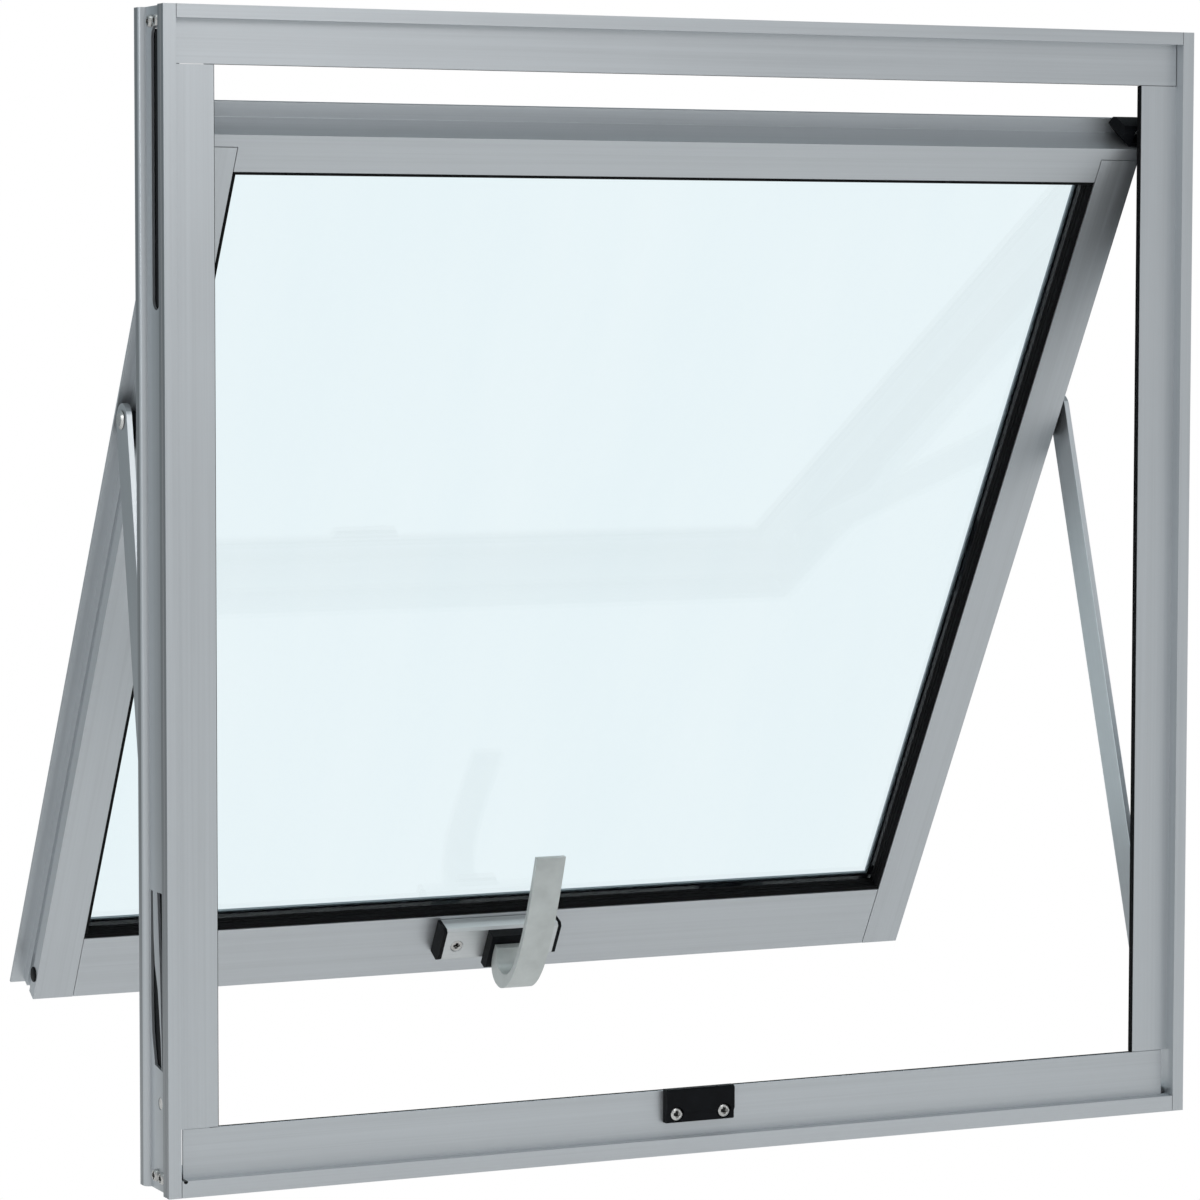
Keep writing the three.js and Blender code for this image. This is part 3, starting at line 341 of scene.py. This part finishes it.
def smoothing_group():
    """Geometry nodes that shade smooth except across edges sharper than an angle."""
    group = bpy.data.node_groups.new("smooth_by_angle", "GeometryNodeTree")
    group.is_modifier = True
    group.interface.new_socket("Geometry", in_out="INPUT", socket_type="NodeSocketGeometry")
    angle = group.interface.new_socket("Angle", in_out="INPUT", socket_type="NodeSocketFloat")
    angle.default_value = math.radians(SHARP_ANGLE)
    group.interface.new_socket("Geometry", in_out="OUTPUT", socket_type="NodeSocketGeometry")
    start = group.nodes.new("NodeGroupInput")
    end = group.nodes.new("NodeGroupOutput")
    faces = group.nodes.new("GeometryNodeSetShadeSmooth")
    edges = group.nodes.new("GeometryNodeSetShadeSmooth")
    edges.domain = "EDGE"
    edges.inputs["Shade Smooth"].default_value = False
    between = group.nodes.new("GeometryNodeInputMeshEdgeAngle")
    wider = group.nodes.new("FunctionNodeCompare")
    wider.data_type = "FLOAT"
    wider.operation = "GREATER_THAN"
    link = group.links.new
    link(start.outputs["Geometry"], faces.inputs["Geometry"])
    link(faces.outputs["Geometry"], edges.inputs["Geometry"])
    link(between.outputs["Unsigned Angle"], wider.inputs["A"])
    link(start.outputs["Angle"], wider.inputs["B"])
    link(wider.outputs["Result"], edges.inputs["Selection"])
    link(edges.outputs["Geometry"], end.inputs["Geometry"])
    return group


SMOOTHING = smoothing_group()


def smooth_by_angle(o, angle):
    """Adds the smoothing group with its angle in degrees."""
    modifier = o.modifiers.new("smooth", "NODES")
    modifier.node_group = SMOOTHING
    for item in SMOOTHING.interface.items_tree:
        if item.name == "Angle":
            modifier[item.identifier] = math.radians(angle)


def dress(name, material, width):
    """Gives a carried-over node its material and soft edges."""
    o = NODES[name]
    o.data.materials.clear()
    o.data.materials.append(material)
    if o.data.attributes.get("custom_normal"):
        o.data.attributes.remove(o.data.attributes["custom_normal"])
    if width:
        soft_edges(o, width)


# ---- Moulded profiles ----------------------------------------------------------------------
# Sections as fractions of the solid they stand in for: depth from the room side, and
# height from the metal it sits on.
WEDGE_GASKET = (
    (0, 0), (0, 0.5), (0.03, 0.8), (0.09, 0.97), (0.2, 1), (0.33, 1), (0.36, 0.82),
    (0.4, 0.82), (0.43, 1), (0.62, 1), (0.65, 0.82), (0.69, 0.82), (0.72, 1), (0.93, 1),
    (0.98, 0.9), (1, 0.7), (1, 0),
)
TAPE_GASKET = (
    (0, 0), (0, 0.85), (0.3, 1), (0.7, 1), (1, 0.85), (1, 0),
)
BULB_SEAL = (
    (0, 0.05), (0, 0.95), (0.28, 1), (0.4, 0.9), (0.46, 0.98), (0.66, 1), (0.86, 0.86),
    (1, 0.56), (0.98, 0.34), (0.8, 0.14), (0.46, 0.08), (0.38, 0.14), (0.28, 0.02),
)

# The jamb seals also reach round the edge of the flange.
EDGE_SEAL = (
    (0, 0.89), (0.02, 0.97), (0.1, 1), (0.27, 1), (0.42, 0.97), (0.5, 0.92), (0.56, 0.98),
    (0.74, 1), (0.9, 0.86), (1, 0.56), (0.98, 0.34), (0.84, 0.14), (0.6, 0.08), (0.52, 0.14),
    (0.42, 0.02), (0.27, 0.02), (0.27, 0.89),
)


def tight_box(name, angle):
    """Corners of a node's own box, and the turn about X that the box is drawn in."""
    turn = Matrix.Rotation(angle, 4, "X")
    back = turn.inverted()
    points = [back @ v.co for v in NODES[name].data.vertices]
    low = Vector([min(p[i] for p in points) for i in range(3)])
    high = Vector([max(p[i] for p in points) for i in range(3)])
    return low, high, turn


def strip(name, section, runs, seat, angle, body, material):
    """A profile in place of a strip-shaped node. runs is the axis along it, 0 or 2, and
    seat is 1 or -1 for the side of the other axis that the profile sits on."""
    low, high, turn = tight_box(name, angle)
    across = 2 - runs
    size = high - low
    rings = []
    for end in (low[runs], high[runs]):
        ring = []
        for depth, height in section:
            point = Vector((0, 0, 0))
            point[runs] = end
            point[1] = low.y + depth * size.y
            rise = height * size[across]
            point[across] = high[across] - rise if seat > 0 else low[across] + rise
            ring.append(turn @ point)
        rings.append(ring)
    count = len(section)
    faces = [tuple(range(count)), tuple(range(2 * count - 1, count - 1, -1))]
    faces += [(i, i + count, (i + 1) % count + count, (i + 1) % count) for i in range(count)]
    mesh = bpy.data.meshes.new(name + "_profile")
    mesh.from_pydata([tuple(p) for p in rings[0] + rings[1]], [], faces)
    shell = bmesh.new()
    shell.from_mesh(mesh)
    bmesh.ops.recalc_face_normals(shell, faces=shell.faces)
    shell.to_mesh(mesh)
    shell.free()
    mesh.materials.append(material)
    o = bpy.data.objects.new(name + "_profile", mesh)
    SCENE.collection.objects.link(o)
    soft_edges(o, PROFILE_EDGE, PROFILE_SHARP_ANGLE)
    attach(o, body)
    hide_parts(name)


def build_profiles():
    """Every gasket and seal: where it runs, and which side it sits on."""
    places = (("top", 0, 1), ("bottom", 0, -1), ("left", 2, -1), ("right", 2, 1))
    for end, runs, seat in places:
        for kind, section in (("glazing", WEDGE_GASKET), ("outdoor", TAPE_GASKET)):
            node = f"{kind}_gasket_{end}"
            strip(node, section, runs, seat, SASH_ANGLE, "sash", RUBBER)
    places = (("head", 0, 1), ("sill", 0, -1), ("left", 2, -1), ("right", 2, 1))
    for end, runs, seat in places:
        section = BULB_SEAL if runs == 0 else EDGE_SEAL
        strip(f"frame_seal_{end}", section, runs, seat, 0, "frame", RUBBER)


# ---- Finish of each node -------------------------------------------------------------------
# The jambs carry painted shade in their side channel.
UPRIGHT = extrusion("anodised_upright", "z", shade=channel_painted_shade)
# The sill carries painted shade in its drain hole.
ACROSS = extrusion("anodised_across", "x", shade=drain_painted_shade)
SASH_UPRIGHT = extrusion("anodised_sash_upright", "z", SASH_ANGLE)
SASH_ACROSS = extrusion("anodised_sash_across", "x", SASH_ANGLE)
# The stay arms carry a painted edge highlight and painted shade on their face.
ARM_METAL = extrusion("stay_arm_metal", "z", ARM_LEAN, (0.86, 0.90, 0.925), arm_edge_painted_light)
LEVER_METAL = blasted("lever_metal", (0.62, 0.65, 0.635), 0.45, (0.34, 0.46))
BASE_METAL = extrusion("handle_base_metal", "x", SASH_ANGLE, (0.68, 0.70, 0.705))
ZINC = (0.70, 0.69, 0.67)
STEEL = polished("zinc_steel", ZINC)
# Screw steels with painted shade in their drives.
KEEPER_STEEL = polished("keeper_screw_steel", ZINC, ("keeper_screw_left", "keeper_screw_right"))
HANDLE_STEEL = polished(
    "handle_screw_steel", ZINC, ("handle_screw_left", "handle_screw_right"), SASH_ANGLE,
)
# The right corner screws lie on the same lines as the left ones.
CORNER_SCREWS = [name for name in sorted(NODES) if name.startswith("corner_screw_left")]
CORNER_STEEL = polished("corner_screw_steel", ZINC, CORNER_SCREWS, axis=0)
NYLON = moulded("black_nylon", (0.0025, 0.003, 0.004))
RUBBER = moulded("seal_rubber", (0.002, 0.0022, 0.0026), (0.6, 0.8), 900)
GLASS = pane("clear_glass")


def finish_of(name):
    """Material and edge radius for a node, by its name."""
    if name.startswith("frame_jamb"):
        return UPRIGHT, 0.25 * MM
    if name in ("frame_head", "frame_sill"):
        return ACROSS, 0.25 * MM
    if name.startswith("sash_stile"):
        return SASH_UPRIGHT, 0.25 * MM
    if name.startswith("sash_"):
        return SASH_ACROSS, 0.25 * MM
    if name.startswith("stay_arm"):
        return ARM_METAL, 0.3 * MM
    if name == "handle_base":
        return BASE_METAL, 0.25 * MM
    if name == "handle_lever":
        return LEVER_METAL, 0.6 * MM
    if name == "glass_pane":
        return GLASS, 0.0
    if "gasket" in name or "seal" in name:
        return RUBBER, 0.4 * MM
    for start, steel in (
        ("keeper_screw", KEEPER_STEEL), ("handle_screw", HANDLE_STEEL),
        ("corner_screw", CORNER_STEEL),
    ):
        if name.startswith(start):
            return steel, 0.1 * MM
    if "rivet" in name or "pin" in name or name == "latch_tongue":
        return STEEL, 0.1 * MM
    return NYLON, 0.35 * MM


for node_name in sorted(NODES):
    finish_material, edge_radius = finish_of(node_name)
    dress(node_name, finish_material, edge_radius)
build_profiles()


# ---- Studio --------------------------------------------------------------------------------
def seen_directly(tree):
    """1 for rays that come from the camera, also through glass, and 0 for the rest."""
    path = tree.nodes.new("ShaderNodeLightPath")
    either = tree.nodes.new("ShaderNodeMath")
    either.operation = "MAXIMUM"
    tree.links.new(path.outputs["Is Camera Ray"], either.inputs[0])
    tree.links.new(path.outputs["Is Transmission Ray"], either.inputs[1])
    return either.outputs["Value"]


def build_floor():
    """White where the camera looks; for all other rays a soft glow from below."""
    bpy.ops.mesh.primitive_circle_add(vertices=96, radius=FLOOR_RADIUS, fill_type="NGON")
    floor = bpy.context.object
    floor.name = "studio_floor"
    floor.location.z = -FLOOR_DROP
    g = Graph("studio_floor")
    seen = seen_directly(g.tree)
    unseen = g.maths("SUBTRACT", 1.0, seen)
    glow = g.span(g.part(g.place, "Y"), *FLOOR_GLOW, *FLOOR_GLOW_Y)
    tone = g.node("CombineColor")
    for socket in tone.inputs[:3]:
        g.join(g.maths("MULTIPLY", unseen, 0.5), socket)
    g.set(
        Base_Color=tone.outputs["Color"],
        Roughness=0.9,
        Emission_Color=(1, 1, 1, 1),
        Emission_Strength=g.maths("ADD", seen, g.maths("MULTIPLY", unseen, glow)),
        Specular_IOR_Level=0.0,
    )
    floor.data.materials.append(g.material)


def area_light(name, place, target, size, power, colour=(1, 1, 1)):
    """A rectangular soft box that faces its target; power in watts."""
    light = bpy.data.lights.new(name, "AREA")
    light.shape = "RECTANGLE"
    light.size, light.size_y = size
    light.energy = power
    light.color = colour
    o = bpy.data.objects.new(name, light)
    SCENE.collection.objects.link(o)
    o.location = place
    o.rotation_euler = (Vector(target) - Vector(place)).to_track_quat("-Z", "Y").to_euler()
    return o


def build_world():
    """White where the camera looks; elsewhere bright in front and dim behind and above."""
    world = bpy.data.worlds.new("studio")
    SCENE.world = world
    world.use_nodes = True
    tree = world.node_tree
    background = tree.nodes["Background"]

    def ramp(value, *stops):
        made = tree.nodes.new("ShaderNodeValToRGB")
        tree.links.new(value, made.inputs["Fac"])
        made.color_ramp.interpolation = "EASE"
        elements = made.color_ramp.elements
        while len(elements) < len(stops):
            elements.new(0.5)
        for element, (position, colour) in zip(elements, stops):
            element.position = position
            element.color = (*colour, 1)
        return made.outputs["Color"]

    def mix(factor, a, b):
        made = tree.nodes.new("ShaderNodeMix")
        made.data_type = "RGBA"
        tree.links.new(factor, made.inputs["Factor"])
        for socket, value in ((made.inputs[6], a), (made.inputs[7], b)):
            if isinstance(value, bpy.types.NodeSocket):
                tree.links.new(value, socket)
            else:
                socket.default_value = value
        return made.outputs[2]

    where = tree.nodes.new("ShaderNodeTexCoord").outputs["Generated"]
    parts = tree.nodes.new("ShaderNodeSeparateXYZ")
    tree.links.new(where, parts.inputs["Vector"])
    depth = tree.nodes.new("ShaderNodeMapRange")
    depth.inputs["From Min"].default_value = -1
    tree.links.new(parts.outputs["Y"], depth.inputs["Value"])
    ring = ramp(depth.outputs["Result"], *WORLD_RING)
    height = ramp(parts.outputs["Z"], (0.45, (0, 0, 0)), (0.9, (1, 1, 1)))
    lit = mix(height, ring, (*WORLD_TOP, 1))
    tree.links.new(mix(seen_directly(tree), lit, (1, 1, 1, 1)), background.inputs["Color"])
    background.inputs["Strength"].default_value = 1.0


def build_lights():
    """Three soft boxes; cool ones at the left and above."""
    area_light("front_box", (0.1, -1.5, 1.15), (-0.15, 0, 0.5), (0.7, 0.7), 2.9)
    area_light("left_box", (-2.0, 0.1, 0.9), (-0.3, 0, 0.4), (0.35, 1.2), 3.2, (0.95, 0.98, 1.0))
    area_light("top_box", (-0.3, -0.5, 1.9), (0, 0.1, 0.3), (0.8, 0.6), 2.2, (0.94, 0.99, 1.0))


def build_camera():
    """Camera at the photograph's place: turned right, tipped down and slightly rolled."""
    azimuth, drop, roll = (math.radians(a) for a in CAMERA_TURNS)
    data = bpy.data.cameras.new("camera")
    data.sensor_width = 36
    data.lens = CAMERA_LENS
    data.clip_end = 60
    camera = bpy.data.objects.new("camera", data)
    SCENE.collection.objects.link(camera)
    camera.location = CAMERA_PLACE
    ahead = Vector((
        math.sin(azimuth) * math.cos(drop), math.cos(azimuth) * math.cos(drop), -math.sin(drop),
    ))
    quaternion = ahead.to_track_quat("-Z", "Y")
    camera.rotation_euler = (quaternion @ Euler((0, 0, roll)).to_quaternion()).to_euler()
    SCENE.camera = camera


build_floor()
build_world()
build_lights()
build_camera()
SCENE.view_settings.view_transform = "Standard"
